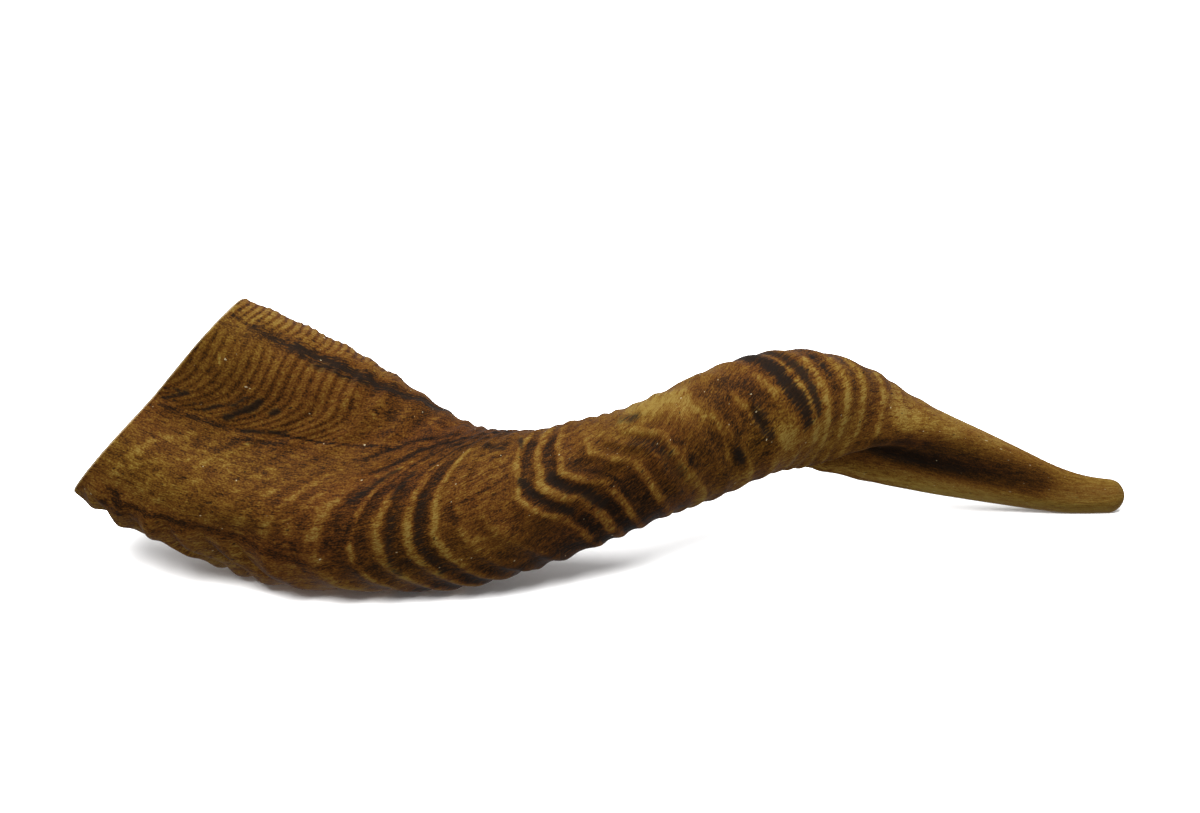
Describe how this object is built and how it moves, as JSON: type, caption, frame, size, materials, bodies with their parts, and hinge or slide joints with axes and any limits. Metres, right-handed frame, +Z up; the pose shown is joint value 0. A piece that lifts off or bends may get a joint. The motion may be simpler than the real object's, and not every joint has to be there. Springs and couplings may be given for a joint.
{
  "type": "sheep horn",
  "caption": "Curled and ringed horn that tapers from a wide, hollow sawn base through a twisting bend to a blunt tip, with three keels and a crease along its inner side.",
  "frame": {"origin": "under the middle of the horn's box, on the surface that it lies on", "axes": "+X from the sawn base towards the tip, +Y towards the side that the picture doesn't show, +Z up"},
  "size_m": [0.2828, 0.0876, 0.0751],
  "materials": {
    "horn": "satin"
  },
  "bodies": {
    "root": {"horn": "horn"}
  },
  "joints": []
}
